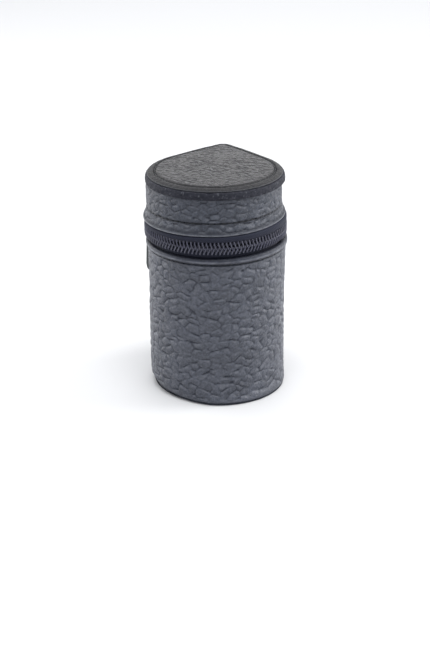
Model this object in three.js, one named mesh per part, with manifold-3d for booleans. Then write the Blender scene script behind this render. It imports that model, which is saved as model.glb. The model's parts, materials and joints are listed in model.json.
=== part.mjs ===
// A leather dice cup with a zip-round lid, in millimetres, +Z up.
//
// The cup and its lid share one plan: a circle drawn out to a rounded point at the back (+Y), where
// a leather strip hinges the lid. The origin is on the circle's axis, on the face that the cup
// stands on. Every wall is a ring swept round that plan, and every panel is a disc cut to it.
import * as THREE from 'three';
import { mergeVertices } from 'three/addons/utils/BufferGeometryUtils.js';
import Module from 'manifold-3d';

// ---- Driving dimensions --------------------------------------------------------------------

// Plan
const CUP_RADIUS = 27.55;        // outer face of the cup's leather, where the plan is round
const LID_RADIUS = 27.05;        // outer face of the lid's leather
const POINT_RADIUS = 7;          // rounding of the back point, on the cup's outer face
const POINT_HALF_ANGLE = 48;     // degrees the wall turns through from +Y to each straight flank
const ARC_STEPS = 32;            // facets round the circular front
const POINT_STEPS = 4;           // facets from the back point to a flank
const FLANK_MIDDLE = 0.4;        // a station part way along each flank, as a share of its length
const ZIP_END_SHARE = 0.825;     // where the zip ends along each flank, as a share of its length

// Heights
const LIP_BOTTOM = 61.05;        // underside of the bound lip of the cup
const LIP_TOP = 62.95;
const ZIP_LEVEL = 67.5;          // middle of the zip, and the level of the hinge
const LID_HEM = 72.4;            // lower edge of the lid's wall
const LID_WALL_TOP = 86.8;
const TOP_EDGE = 91.5;           // the lid's top panel near its edge
const TOTAL_HEIGHT = 92;         // the lid's top panel at its crown

// Material thicknesses
const LEATHER = 1.2;
const LINING = 1.05;
const TAPE = 0.5;
const GAP = 0.05;                // glue line between layers laid on each other

// Inside face of the lining, shared by cup and lid
const CAVITY_RADIUS = 23.8;

// Zip
const COIL_GAP = 1.0;            // opening between the two halves of the coil
const COIL_HEIGHT = 2.6;         // each half, measured up the wall
const COIL_BACK = 26.9;
const COIL_FRONT = 28.8;
const TAPE_BACK = 26.3;

// Slider and its pull, in the slider's own frame: x outwards, y along the zip, z up
const SLIDER_ANGLE = 154;        // where the slider stands round the plan, in degrees from +X
const SLIDER_LENGTH = 9;
const PLATE_THICKNESS = 1.0;
const FRONT_PLATE = 29.15;       // inner face of the front plate
const FRONT_PLATE_HEIGHT = 8;
const BACK_PLATE = 24.3;         // inner face of the back plate
const BACK_PLATE_HEIGHT = 7;
const BRIDGE_AXIS = 31.95;       // middle of the bar that the pull hangs on
const BRIDGE_BAR = 0.8;          // thickness of that bar
const BRIDGE_LENGTH = 7.6;
const LINK_HOLE = 0.9;           // inner radius of the link's round ends
const LINK_WIRE = 0.7;
const LINK_SPAN = 1.6;           // between the middles of the link's round ends
const LINK_WIDTH = 0.9;
const TAB_THICKNESS = 1.0;
const TAB_LENGTH = 22.8;         // from the middle of its eye to its lower end
const TAB_HALF_WIDTH = 3.2;
const TAB_ROUNDING = 4.5;        // how far above its lower end the tab starts to round off
const EYE_HOLE = 1.0;
const EYE_RADIUS = 1.9;

// ---- Materials -----------------------------------------------------------------------------

const COLOURS = {
  leather: { color: 0x3b3d44, roughness: 0.55, metalness: 0 },
  panel: { color: 0x4a4a4c, roughness: 0.5, metalness: 0 },
  binding: { color: 0x2c2d34, roughness: 0.45, metalness: 0 },
  board: { color: 0x8d7b63, roughness: 0.95, metalness: 0 },
  lining: { color: 0x25262b, roughness: 1, metalness: 0 },
  thread: { color: 0x1c1d22, roughness: 0.7, metalness: 0 },
  tape: { color: 0x16171b, roughness: 0.9, metalness: 0 },
  coil: { color: 0x1e1f26, roughness: 0.4, metalness: 0 },
  metal: { color: 0x45484a, roughness: 0.35, metalness: 0.9 },
};

const cup = new THREE.Group();

function add(parent, name, slot, geometry) {
  const mesh = new THREE.Mesh(geometry, new THREE.MeshStandardMaterial(COLOURS[slot]));
  mesh.name = name;
  parent.add(mesh);
  return mesh;
}

// ---- The plan ------------------------------------------------------------------------------

// The back point is an arc about a centre of its own, and the flanks are straight tangents to both
// arcs. A station is a place round the plan. Its angle is the way the wall faces, and its share is
// 0 on the circular front, 1 on the back point and in between along a flank.
const CENTRE_DROP = CUP_RADIUS - POINT_RADIUS;
const POINT_CENTRE = CENTRE_DROP / Math.cos(THREE.MathUtils.degToRad(POINT_HALF_ANGLE));
const BACK = 90;
const LEFT_FLANK = BACK + POINT_HALF_ANGLE;
const RIGHT_FLANK = BACK - POINT_HALF_ANGLE + 360;

function planStations() {
  const stations = [];
  for (let i = 0; i <= POINT_STEPS; i += 1) {
    stations.push({ angle: BACK + (POINT_HALF_ANGLE * i) / POINT_STEPS, share: 1 });
  }
  stations.push({ angle: LEFT_FLANK, share: ZIP_END_SHARE });
  stations.push({ angle: LEFT_FLANK, share: FLANK_MIDDLE });
  for (let i = 0; i <= ARC_STEPS; i += 1) {
    stations.push({ angle: LEFT_FLANK + ((RIGHT_FLANK - LEFT_FLANK) * i) / ARC_STEPS, share: 0 });
  }
  stations.push({ angle: RIGHT_FLANK, share: FLANK_MIDDLE });
  stations.push({ angle: RIGHT_FLANK, share: ZIP_END_SHARE });
  for (let i = 0; i < POINT_STEPS; i += 1) {
    stations.push({ angle: RIGHT_FLANK + (POINT_HALF_ANGLE * i) / POINT_STEPS, share: 1 });
  }
  return stations;
}

const STATIONS = planStations();
const ZIP_START = POINT_STEPS + 1;
const ZIP_END = STATIONS.length - POINT_STEPS - 1;
const STRIP_REACH = 3;           // stations from the back point to each edge of the hinge strip

// A point of the plan whose circular front has this radius, at this station.
function planPoint(station, radius) {
  const angle = THREE.MathUtils.degToRad(station.angle);
  const own = radius - station.share * CENTRE_DROP;
  return [own * Math.cos(angle), station.share * POINT_CENTRE + own * Math.sin(angle)];
}

// ---- Solids from the plan ------------------------------------------------------------------

function solid(positions, faces) {
  const geometry = new THREE.BufferGeometry();
  geometry.setAttribute('position', new THREE.Float32BufferAttribute(positions, 3));
  geometry.setIndex(faces);
  geometry.computeVertexNormals();
  return geometry;
}

// Two triangles between one edge of a section at a station and the same edge at the next one.
function pushQuad(faces, here, hereNext, there, thereNext) {
  faces.push(here, there, thereNext);
  faces.push(here, thereNext, hereNext);
}

// Sweeps a closed section of [radius, z] points, anticlockwise with z up, all the way round.
function fullRing(section) {
  const positions = [];
  const faces = [];
  const count = section.length;
  STATIONS.forEach((station, s) => {
    const next = (s + 1) % STATIONS.length;
    section.forEach(([radius, z], i) => {
      positions.push(...planPoint(station, radius), z);
      const j = (i + 1) % count;
      pushQuad(faces, s * count + i, s * count + j, next * count + i, next * count + j);
    });
  });
  return solid(positions, faces);
}

// The same from one station to another, closed by a flat cap at each end.
function partRing(section, first, last) {
  const positions = [];
  const faces = [];
  const count = section.length;
  for (let s = first; s <= last; s += 1) {
    const station = STATIONS[(s + STATIONS.length) % STATIONS.length];
    section.forEach(([radius, z]) => positions.push(...planPoint(station, radius), z));
    if (s < last) {
      const row = (s - first) * count;
      for (let i = 0; i < count; i += 1) {
        const j = (i + 1) % count;
        pushQuad(faces, row + i, row + j, row + count + i, row + count + j);
      }
    }
  }
  const contour = section.map(([radius, z]) => new THREE.Vector2(radius, z));
  const lastRow = (last - first) * count;
  THREE.ShapeUtils.triangulateShape(contour, []).forEach((triangle) => {
    const corners = triangle.map((i) => contour[i]);
    const [a, b, c] = THREE.ShapeUtils.isClockWise(corners) ? [...triangle].reverse() : triangle;
    faces.push(a, b, c);
    faces.push(lastRow + c, lastRow + b, lastRow + a);
  });
  return solid(positions, faces);
}

// A panel. Its rings run [radius, z, scale] from the middle of its underside out, up its edge and
// back in over its top. Scale draws a ring in towards the panel's middle, and is 1 if left out.
const PANEL_MIDDLE = 4;

function disc(rings) {
  const positions = [];
  const faces = [];
  const count = STATIONS.length;
  rings.forEach(([radius, z, scale = 1], r) => {
    STATIONS.forEach((station, s) => {
      const [x, y] = planPoint(station, radius);
      positions.push(x * scale, PANEL_MIDDLE + (y - PANEL_MIDDLE) * scale, z);
      const next = (s + 1) % count;
      if (r + 1 < rings.length) {
        const row = r * count;
        pushQuad(faces, row + s, row + count + s, row + next, row + count + next);
      }
    });
  });
  const lower = rings.length * count;
  const upper = lower + 1;
  const lastRow = (rings.length - 1) * count;
  positions.push(0, PANEL_MIDDLE, rings[0][1]);
  positions.push(0, PANEL_MIDDLE, rings[rings.length - 1][3] ?? rings[rings.length - 1][1]);
  for (let s = 0; s < count; s += 1) {
    const next = (s + 1) % count;
    faces.push(lower, next, s);
    faces.push(upper, lastRow + s, lastRow + next);
  }
  return solid(positions, faces);
}

function flatDisc(radius, bottom, top) {
  return disc([[radius, bottom], [radius, top]]);
}

function wall(inner, outer, bottom, top) {
  return fullRing([[inner, bottom], [outer, bottom], [outer, top], [inner, top]]);
}

// A sewn thread that fills the middle of a groove running round the wall or the top panel.
const THREAD = 0.34;

function thread(radius, z) {
  const half = THREAD / 2;
  return wall(radius - half, radius + half, z - half, z + half);
}

// Reflects a section about the middle of the zip, so that it still runs anticlockwise.
function reflected(section) {
  return section.map(([radius, z]) => [radius, 2 * ZIP_LEVEL - z]).reverse();
}

// ---- Cup: base -----------------------------------------------------------------------------

const BASE_RADIUS = 24.9;
const BASE_EDGE = 0.3;           // the base's rounded corner
const BASE_BOARD_BOTTOM = 1.5;
const FLOOR_BOTTOM = 3.1;        // underside of the floor lining, and foot of the wall board
const CAVITY_FLOOR = 4.1;

add(cup, 'base_leather', 'binding', disc([
  [BASE_RADIUS - BASE_EDGE, 0],
  [BASE_RADIUS, BASE_EDGE],
  [BASE_RADIUS, BASE_BOARD_BOTTOM - 2 * GAP],
]));
add(cup, 'base_board', 'board', flatDisc(BASE_RADIUS + GAP, BASE_BOARD_BOTTOM, FLOOR_BOTTOM - 2 * GAP));
add(cup, 'base_lining', 'lining', flatDisc(CAVITY_RADIUS + LINING - GAP, FLOOR_BOTTOM, CAVITY_FLOOR));

// ---- Cup: wall -----------------------------------------------------------------------------

const WALL_INNER = CUP_RADIUS - LEATHER;
const SEAM_LEVEL = 60.1;         // the sewn line just under the lip
const GROOVE = 0.3;              // depth of a sewn groove
const GROOVE_HALF = 0.27;        // half its width
const BOARD_INNER = CAVITY_RADIUS + LINING + GAP;
const TAPE_TUCK = 25.75;         // inner face of the zip tape where it is glued inside the wall
const TAPE_FOOT = 58.5;          // how far the tape reaches down behind the leather
const LINING_TOP = 62.2;

// The leather turns in under the base, and stops short of the table by TURN_IN_CLEAR.
const TURN_IN_CLEAR = 0.2;
add(cup, 'body_leather', 'leather', fullRing([
  [25.1, TURN_IN_CLEAR],
  [26.3, 0.5],
  [27.1, 1.3],
  [27.5, 2.4],
  [CUP_RADIUS, 3.4],
  [CUP_RADIUS, SEAM_LEVEL - 2 * GROOVE_HALF],
  [CUP_RADIUS - GROOVE, SEAM_LEVEL - GROOVE_HALF],
  [CUP_RADIUS - GROOVE, SEAM_LEVEL + GROOVE_HALF],
  [CUP_RADIUS - GAP, SEAM_LEVEL + 2 * GROOVE_HALF],
  [CUP_RADIUS - GAP, LIP_BOTTOM - 2 * GAP],
  [WALL_INNER, LIP_BOTTOM - 2 * GAP],
  [WALL_INNER, 2.9],
  [26.0, 1.9],
  [25.1, 1.4],
]));
add(cup, 'body_board', 'board', fullRing([
  [BOARD_INNER, FLOOR_BOTTOM],
  [WALL_INNER - GAP, FLOOR_BOTTOM],
  [WALL_INNER - GAP, TAPE_FOOT - 0.7],
  [TAPE_TUCK - GAP, TAPE_FOOT - 0.3],
  [TAPE_TUCK - GAP, LINING_TOP - 0.4],
  [BOARD_INNER, LINING_TOP - 0.4],
]));
add(cup, 'body_lining', 'lining', wall(
  CAVITY_RADIUS,
  CAVITY_RADIUS + LINING,
  CAVITY_FLOOR + 2 * GAP,
  LINING_TOP,
));
add(cup, 'body_stitching', 'thread', thread(CUP_RADIUS - GROOVE + THREAD / 2 + GAP, SEAM_LEVEL));

// The lip is a strip of leather bound over the top edge, so it stands a little proud of the wall.
add(cup, 'body_lip', 'binding', fullRing([
  [WALL_INNER + 0.1, LIP_BOTTOM],
  [27.9, LIP_BOTTOM],
  [28.3, LIP_BOTTOM + 0.35],
  [28.4, LIP_BOTTOM + 0.95],
  [28.15, LIP_TOP - 0.35],
  [27.6, LIP_TOP],
  [26.9, LIP_TOP],
  [WALL_INNER + 0.1, LIP_TOP - 0.35],
]));

// ---- Zip -----------------------------------------------------------------------------------

const COIL_EDGE = ZIP_LEVEL - COIL_GAP / 2;
const TAPE_FRONT = TAPE_BACK + TAPE;

// Half of the coil is a D in section, flat where it meets the other half.
const lowerCoil = [
  [COIL_BACK, COIL_EDGE - COIL_HEIGHT + 0.3],
  [27.6, COIL_EDGE - COIL_HEIGHT],
  [28.4, COIL_EDGE - COIL_HEIGHT + 0.4],
  [28.72, COIL_EDGE - COIL_HEIGHT / 2],
  [COIL_FRONT, COIL_EDGE],
  [COIL_BACK, COIL_EDGE],
];
const tapeFirst = STRIP_REACH;
const tapeLast = STATIONS.length - STRIP_REACH;

add(cup, 'body_zip_tape', 'tape', partRing([
  [TAPE_TUCK, TAPE_FOOT],
  [TAPE_TUCK + TAPE, TAPE_FOOT],
  [TAPE_TUCK + TAPE, LIP_TOP - 0.15],
  [TAPE_FRONT, LIP_TOP + 1.25],
  [TAPE_FRONT, COIL_EDGE],
  [TAPE_BACK, COIL_EDGE],
  [TAPE_BACK, LIP_TOP + 1.4],
  [TAPE_TUCK, LIP_TOP],
], tapeFirst, tapeLast));
add(cup, 'body_zip_coil', 'coil', partRing(lowerCoil, ZIP_START, ZIP_END));

// The lid's tape is glued inside a wall of smaller radius, so it leans out further to the coil.
const LID_INNER = LID_RADIUS - LEATHER;
const LID_TUCK = LID_INNER - GAP - TAPE;
const LID_TAPE_TOP = 77;
add(cup, 'lid_zip_tape', 'tape', partRing([
  [TAPE_BACK, 2 * ZIP_LEVEL - COIL_EDGE],
  [TAPE_FRONT, 2 * ZIP_LEVEL - COIL_EDGE],
  [TAPE_FRONT, LID_HEM - 1.6],
  [LID_TUCK + TAPE, LID_HEM + 0.2],
  [LID_TUCK + TAPE, LID_TAPE_TOP],
  [LID_TUCK, LID_TAPE_TOP],
  [LID_TUCK, LID_HEM],
  [TAPE_BACK, LID_HEM - 1.8],
], tapeFirst, tapeLast));
add(cup, 'lid_zip_coil', 'coil', partRing(reflected(lowerCoil), ZIP_START, ZIP_END));

// A crimped stop closes each end of each half of the zip, just past the coil.
const STOP = { depth: 1.7, along: 1.6, height: 2.2 };
const FLANK_LENGTH = POINT_CENTRE * Math.sin(THREE.MathUtils.degToRad(POINT_HALF_ANGLE));
const STOP_CLEARANCE = 0.3;
const stopShare = ZIP_END_SHARE + (STOP_CLEARANCE + STOP.along / 2) / FLANK_LENGTH;
for (const [side, angle] of [['left', LEFT_FLANK], ['right', RIGHT_FLANK]]) {
  for (const [half, sign] of [['body', -1], ['lid', 1]]) {
    const radius = TAPE_FRONT + STOP_CLEARANCE + STOP.depth / 2;
    const [x, y] = planPoint({ angle, share: stopShare }, radius);
    const block = new THREE.BoxGeometry(STOP.depth, STOP.along, STOP.height);
    const stop = add(cup, `${half}_stop_${side}`, 'metal', block);
    stop.position.set(x, y, ZIP_LEVEL + sign * (COIL_GAP / 2 + STOP.height / 2));
    stop.rotation.z = THREE.MathUtils.degToRad(angle);
  }
}

// ---- Lid: wall -----------------------------------------------------------------------------

const LID_SEAM_LEVEL = 77.7;
const LID_LINING_TOP = 85.7;

// The hem is folded over the tape, so the wall flares out to its lower edge.
add(cup, 'lid_wall_leather', 'leather', fullRing([
  [LID_INNER + 0.6, LID_HEM],
  [27.6, LID_HEM],
  [28.1, LID_HEM + 0.4],
  [28.05, LID_HEM + 1.0],
  [27.5, LID_HEM + 2.0],
  [27.15, LID_HEM + 3.6],
  [LID_RADIUS + GAP, LID_SEAM_LEVEL - 2 * GROOVE_HALF],
  [LID_RADIUS - GROOVE, LID_SEAM_LEVEL - GROOVE_HALF],
  [LID_RADIUS - GROOVE, LID_SEAM_LEVEL + GROOVE_HALF],
  [LID_RADIUS, LID_SEAM_LEVEL + 2 * GROOVE_HALF],
  [LID_RADIUS, LID_WALL_TOP],
  [LID_INNER, LID_WALL_TOP],
  [LID_INNER, LID_HEM + 0.8],
]));
add(cup, 'lid_wall_stitching', 'thread', thread(LID_RADIUS - GROOVE + THREAD / 2 + GAP, LID_SEAM_LEVEL));
add(cup, 'lid_wall_board', 'board', fullRing([
  [BOARD_INNER, LID_HEM + 0.4],
  [LID_TUCK - GAP, LID_HEM + 0.4],
  [LID_TUCK - GAP, LID_TAPE_TOP + 0.3],
  [LID_INNER - GAP, LID_TAPE_TOP + 0.6],
  [LID_INNER - GAP, LID_WALL_TOP],
  [BOARD_INNER, LID_WALL_TOP],
]));
add(cup, 'lid_wall_lining', 'lining', wall(
  CAVITY_RADIUS,
  CAVITY_RADIUS + LINING,
  LID_HEM + 0.2,
  LID_LINING_TOP,
));

// ---- Lid: top ------------------------------------------------------------------------------

const TOP_BOARD_TOP = 89.8;
const RIM_BOTTOM = LID_WALL_TOP + 0.15;
const RIM_TOP = 89.95;
const RIM_RADIUS = 28;
const PANEL_BOTTOM = 90;
const PANEL_RADIUS = 27.3;
const TOP_SEAM_RADIUS = 24;
const TOP_GROOVE = 0.25;

add(cup, 'lid_top_lining', 'lining', flatDisc(BOARD_INNER - 2 * GAP, LID_LINING_TOP + 2 * GAP, LID_WALL_TOP));
add(cup, 'lid_top_board', 'board', flatDisc(26.2, LID_WALL_TOP + 2 * GAP, TOP_BOARD_TOP));

// A bound rim stands out over the wall, and the top panel's rolled edge sits on it.
add(cup, 'lid_rim_binding', 'binding', fullRing([
  [26.3, RIM_BOTTOM],
  [RIM_RADIUS - 0.4, RIM_BOTTOM],
  [RIM_RADIUS, RIM_BOTTOM + 0.4],
  [RIM_RADIUS, RIM_TOP - 0.85],
  [RIM_RADIUS - 0.2, RIM_TOP - 0.25],
  [RIM_RADIUS - 0.6, RIM_TOP],
  [26.3, RIM_TOP],
]));

const seamIn = TOP_SEAM_RADIUS - 2 * GROOVE_HALF;
const crown = TOTAL_HEIGHT - TOP_EDGE;
add(cup, 'lid_top_leather', 'panel', disc([
  [PANEL_RADIUS - 0.7, PANEL_BOTTOM],
  [PANEL_RADIUS - 0.15, PANEL_BOTTOM + 0.15],
  [PANEL_RADIUS, PANEL_BOTTOM + 0.6],
  [PANEL_RADIUS - 0.2, PANEL_BOTTOM + 1.05],
  [PANEL_RADIUS - 0.8, PANEL_BOTTOM + 1.35],
  [PANEL_RADIUS - 2, TOP_EDGE],
  [TOP_SEAM_RADIUS + 2 * GROOVE_HALF, TOP_EDGE],
  [TOP_SEAM_RADIUS + GROOVE_HALF, TOP_EDGE - TOP_GROOVE],
  [TOP_SEAM_RADIUS - GROOVE_HALF, TOP_EDGE - TOP_GROOVE],
  [seamIn, TOP_EDGE],
  [seamIn, TOP_EDGE + crown * 0.4, 0.8],
  [seamIn, TOP_EDGE + crown * 0.8, 0.45, TOTAL_HEIGHT],
]));
add(cup, 'lid_top_stitching', 'thread', thread(TOP_SEAM_RADIUS, TOP_EDGE - TOP_GROOVE + THREAD / 2 + GAP));

// ---- Hinge strip ---------------------------------------------------------------------------

// One leather strip is sewn over the back point. It bends at the level of the zip, so it is a
// lower piece on the cup and an upper piece on the lid. The hinge line is just outside both.
const STRIP_BACK = 28.5;
const STRIP_THICKNESS = 1;
const STRIP_OVERLAP = 12.5;      // from the hinge line to the strip's upper and lower ends
const STRIP_GAP = 0.4;           // from the hinge line to each piece

const lowerStrip = [
  [STRIP_BACK, ZIP_LEVEL - STRIP_OVERLAP],
  [STRIP_BACK + STRIP_THICKNESS, ZIP_LEVEL - STRIP_OVERLAP],
  [STRIP_BACK + STRIP_THICKNESS, ZIP_LEVEL - STRIP_GAP],
  [STRIP_BACK, ZIP_LEVEL - STRIP_GAP],
];
add(cup, 'hinge_strip_lower', 'binding', partRing(lowerStrip, -STRIP_REACH, STRIP_REACH));
add(cup, 'hinge_strip_upper', 'binding', partRing(reflected(lowerStrip), -STRIP_REACH, STRIP_REACH));

// ---- Slider --------------------------------------------------------------------------------

const wasm = await Module();
wasm.setup();

function toManifold(geometry) {
  const bare = geometry.clone();
  bare.deleteAttribute('normal');
  bare.deleteAttribute('uv');
  const merged = mergeVertices(bare);
  return new wasm.Manifold(new wasm.Mesh({
    numProp: 3,
    vertProperties: new Float32Array(merged.attributes.position.array),
    triVerts: new Uint32Array(merged.index.array),
  }));
}

function toGeometry(manifold) {
  const mesh = manifold.getMesh();
  return solid(Array.from(mesh.vertProperties), Array.from(mesh.triVerts));
}

function box(low, high) {
  const size = high.map((value, i) => value - low[i]);
  const geometry = new THREE.BoxGeometry(...size);
  return geometry.translate(...low.map((value, i) => value + size[i] / 2));
}

// A plate facing outwards, drawn with x along the zip and y up, and as thick as it is deep.
const PLATE_BASIS = new THREE.Matrix4().makeBasis(
  new THREE.Vector3(0, 1, 0),
  new THREE.Vector3(0, 0, 1),
  new THREE.Vector3(1, 0, 0),
);

function plate(shape, inner, thickness, curveSegments) {
  const options = { depth: thickness, bevelEnabled: false, curveSegments };
  return new THREE.ExtrudeGeometry(shape, options).applyMatrix4(PLATE_BASIS).translate(inner, 0, 0);
}

// The slider's outline: blunt where the two halves of the coil enter, narrower where they leave.
function sliderOutline(length, height) {
  const shape = new THREE.Shape();
  const nose = length / 2;
  const half = height / 2;
  const tail = half * 0.72;
  const round = half * 0.5;
  shape.moveTo(-nose, -tail + round);
  shape.quadraticCurveTo(-nose, -tail, -nose + round, -tail);
  shape.lineTo(nose - 1.6 * round, -half);
  shape.quadraticCurveTo(nose, -half, nose, -half + round);
  shape.lineTo(nose, half - round);
  shape.quadraticCurveTo(nose, half, nose - 1.6 * round, half);
  shape.lineTo(-nose + round, tail);
  shape.quadraticCurveTo(-nose, tail, -nose, tail - round);
  shape.closePath();
  return shape;
}

// The pull hangs on a bridge that arches along the zip.
function bridgeOutline() {
  const top = BRIDGE_AXIS + BRIDGE_BAR / 2;
  const foot = FRONT_PLATE + PLATE_THICKNESS / 2;
  const half = BRIDGE_LENGTH / 2;
  const shape = new THREE.Shape();
  shape.moveTo(foot, -half);
  shape.lineTo(top - 1, -half);
  shape.quadraticCurveTo(top, -half, top, -half + 1);
  shape.lineTo(top, half - 1);
  shape.quadraticCurveTo(top, half, top - 1, half);
  shape.lineTo(foot, half);
  shape.lineTo(foot, half - BRIDGE_BAR);
  shape.lineTo(top - BRIDGE_BAR, half - BRIDGE_BAR);
  shape.lineTo(top - BRIDGE_BAR, -half + BRIDGE_BAR);
  shape.lineTo(foot, -half + BRIDGE_BAR);
  shape.closePath();
  return shape;
}

const slider = new THREE.Group();
slider.rotation.z = THREE.MathUtils.degToRad(SLIDER_ANGLE);
cup.add(slider);

// Only the divider passes between the halves of the coil, and the only flange is on the cup's side,
// so the lid's half lifts straight out of the slider.
const DIVIDER = 0.4;
const DIVIDER_LENGTH = 2.5;
const FLANGE = 0.6;
const FLANGE_BACK = TAPE_FRONT + 0.3;
const nose = SLIDER_LENGTH / 2;
const flangeFoot = COIL_EDGE - COIL_HEIGHT - 0.3 - FLANGE;
const plateMiddle = PLATE_THICKNESS / 2;

const frontPlate = plate(sliderOutline(SLIDER_LENGTH, FRONT_PLATE_HEIGHT), FRONT_PLATE, PLATE_THICKNESS, 3)
  .translate(0, 0, ZIP_LEVEL);
const backPlate = plate(sliderOutline(SLIDER_LENGTH, BACK_PLATE_HEIGHT), BACK_PLATE, PLATE_THICKNESS, 3)
  .translate(0, 0, ZIP_LEVEL);
const divider = box(
  [BACK_PLATE + plateMiddle, nose - 0.6 - DIVIDER_LENGTH, ZIP_LEVEL - DIVIDER / 2],
  [FRONT_PLATE + plateMiddle, nose - 0.6, ZIP_LEVEL + DIVIDER / 2],
);
const flange = box(
  [FLANGE_BACK, 0, flangeFoot],
  [FRONT_PLATE + plateMiddle, nose - 1.5, flangeFoot + FLANGE],
);
const bridge = new THREE.ExtrudeGeometry(bridgeOutline(), {
  depth: BRIDGE_BAR,
  bevelEnabled: false,
  curveSegments: 3,
}).translate(0, 0, ZIP_LEVEL - BRIDGE_BAR / 2);

const sliderSolid = [backPlate, divider, flange, bridge]
  .map(toManifold)
  .reduce((whole, piece) => whole.add(piece), toManifold(frontPlate));
add(slider, 'slider_body', 'metal', toGeometry(sliderSolid));

// ---- Pull ----------------------------------------------------------------------------------

// An oval link hangs on the bridge, and the tab hangs on the link by a round eye.
const LINK_CURVE = 6;
const linkLower = ZIP_LEVEL - LINK_SPAN;

function oval(path, radius) {
  path.absarc(0, 0, radius, 0, Math.PI, false);
  path.absarc(0, -LINK_SPAN, radius, Math.PI, 2 * Math.PI, false);
  path.closePath();
  return path;
}

const linkShape = oval(new THREE.Shape(), LINK_HOLE + LINK_WIRE);
linkShape.holes.push(oval(new THREE.Path(), LINK_HOLE));
const linkGeometry = new THREE.ExtrudeGeometry(linkShape, {
  depth: LINK_WIDTH,
  bevelEnabled: false,
  curveSegments: LINK_CURVE,
});
linkGeometry.rotateX(Math.PI / 2);
linkGeometry.translate(BRIDGE_AXIS, LINK_WIDTH / 2, ZIP_LEVEL);
add(slider, 'pull_link', 'metal', linkGeometry);

const eyeLevel = linkLower - LINK_HOLE - LINK_WIRE / 2;

// The tab widens from its eye to a rounded lower end, drawn about the middle of the eye.
function tabOutline() {
  const shape = new THREE.Shape();
  const shoulder = TAB_ROUNDING - TAB_LENGTH;
  const blunt = TAB_HALF_WIDTH / 2;
  shape.absarc(0, 0, EYE_RADIUS, 0, Math.PI, false);
  shape.lineTo(-TAB_HALF_WIDTH, shoulder);
  shape.bezierCurveTo(-TAB_HALF_WIDTH, -TAB_LENGTH + blunt, -blunt, -TAB_LENGTH, 0, -TAB_LENGTH);
  shape.bezierCurveTo(blunt, -TAB_LENGTH, TAB_HALF_WIDTH, -TAB_LENGTH + blunt, TAB_HALF_WIDTH, shoulder);
  shape.closePath();
  const hole = new THREE.Path();
  hole.absarc(0, 0, EYE_HOLE, 0, 2 * Math.PI, true);
  shape.holes.push(hole);
  return shape;
}

const tab = plate(tabOutline(), BRIDGE_AXIS - TAB_THICKNESS / 2, TAB_THICKNESS, 8);
add(slider, 'pull_tab', 'metal', tab.translate(0, 0, eyeLevel));

export default cup;
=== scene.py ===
"""The looks of a leather dice cup with a zip-round lid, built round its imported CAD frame.

Lengths inside the builders are millimetres, and mesh_object() turns them into metres. Sizes come
from the CAD nodes' boxes. s is the distance round the plan from the back point, over the left
side, and rho is the radius that a wall would have on the round front. The left and the right are
those of somebody who looks at the front.
"""

import json
import math

import bmesh
import bpy
import numpy as np
from mathutils import Matrix, Vector

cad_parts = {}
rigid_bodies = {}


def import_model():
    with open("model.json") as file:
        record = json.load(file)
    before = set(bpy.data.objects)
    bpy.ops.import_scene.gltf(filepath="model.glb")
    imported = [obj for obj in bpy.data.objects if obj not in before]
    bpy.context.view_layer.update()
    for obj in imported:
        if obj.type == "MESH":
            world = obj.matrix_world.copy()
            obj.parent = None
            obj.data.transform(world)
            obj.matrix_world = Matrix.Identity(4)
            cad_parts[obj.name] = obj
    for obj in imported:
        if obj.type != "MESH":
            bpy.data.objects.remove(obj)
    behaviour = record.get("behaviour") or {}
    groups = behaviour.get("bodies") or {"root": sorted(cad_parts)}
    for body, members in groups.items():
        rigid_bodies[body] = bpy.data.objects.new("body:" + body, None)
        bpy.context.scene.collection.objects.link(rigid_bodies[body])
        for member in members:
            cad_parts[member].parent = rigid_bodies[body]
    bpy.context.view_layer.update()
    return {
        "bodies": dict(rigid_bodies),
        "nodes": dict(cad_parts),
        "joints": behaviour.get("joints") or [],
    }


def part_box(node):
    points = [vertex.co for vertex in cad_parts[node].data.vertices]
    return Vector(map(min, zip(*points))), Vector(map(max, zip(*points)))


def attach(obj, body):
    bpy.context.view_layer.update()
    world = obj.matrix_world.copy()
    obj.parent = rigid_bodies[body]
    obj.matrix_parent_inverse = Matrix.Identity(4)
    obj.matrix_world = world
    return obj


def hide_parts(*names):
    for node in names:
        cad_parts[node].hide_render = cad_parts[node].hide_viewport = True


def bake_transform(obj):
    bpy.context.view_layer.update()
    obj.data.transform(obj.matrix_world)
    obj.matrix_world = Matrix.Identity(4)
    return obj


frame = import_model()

MM = 0.001


def node_box(node):
    """The lowest and highest corner of a CAD node, in millimetres."""
    low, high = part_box(node)
    return np.array(low) / MM, np.array(high) / MM


# ---- Shader nodes ----


def add(tree, kind, inputs, **settings):
    """Adds a shader node. An input is a constant, or a socket to be joined to it."""
    made = tree.nodes.new("ShaderNode" + kind)
    for key, value in settings.items():
        setattr(made, key, value)
    for key, value in inputs.items():
        if isinstance(value, bpy.types.NodeSocket):
            tree.links.new(value, made.inputs[key])
        else:
            made.inputs[key].default_value = value
    return made


def blank_material(name, **surface):
    """A material with constants on its shader, whose inputs are named with _ for each space."""
    material = bpy.data.materials.new(name)
    material.use_nodes = True
    tree = material.node_tree
    shader = tree.nodes["Principled BSDF"]
    for key, value in surface.items():
        shader.inputs[key.replace("_", " ")].default_value = value
    return material, tree, shader


def mixed(tree, share, low, high):
    """A colour between two, by a share from a socket."""
    node = add(tree, "Mix", {0: share, 6: low, 7: high}, data_type="RGBA")
    return node.outputs[2]


def ranged(tree, value, from_low, from_high, to_low, to_high):
    """A value moved from one range to another, and kept inside it."""
    inputs = {"Value": value, 1: from_low, 2: from_high, 3: to_low, 4: to_high}
    return add(tree, "MapRange", inputs).outputs[0]


# ---- Camera, light and floor ----

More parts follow.
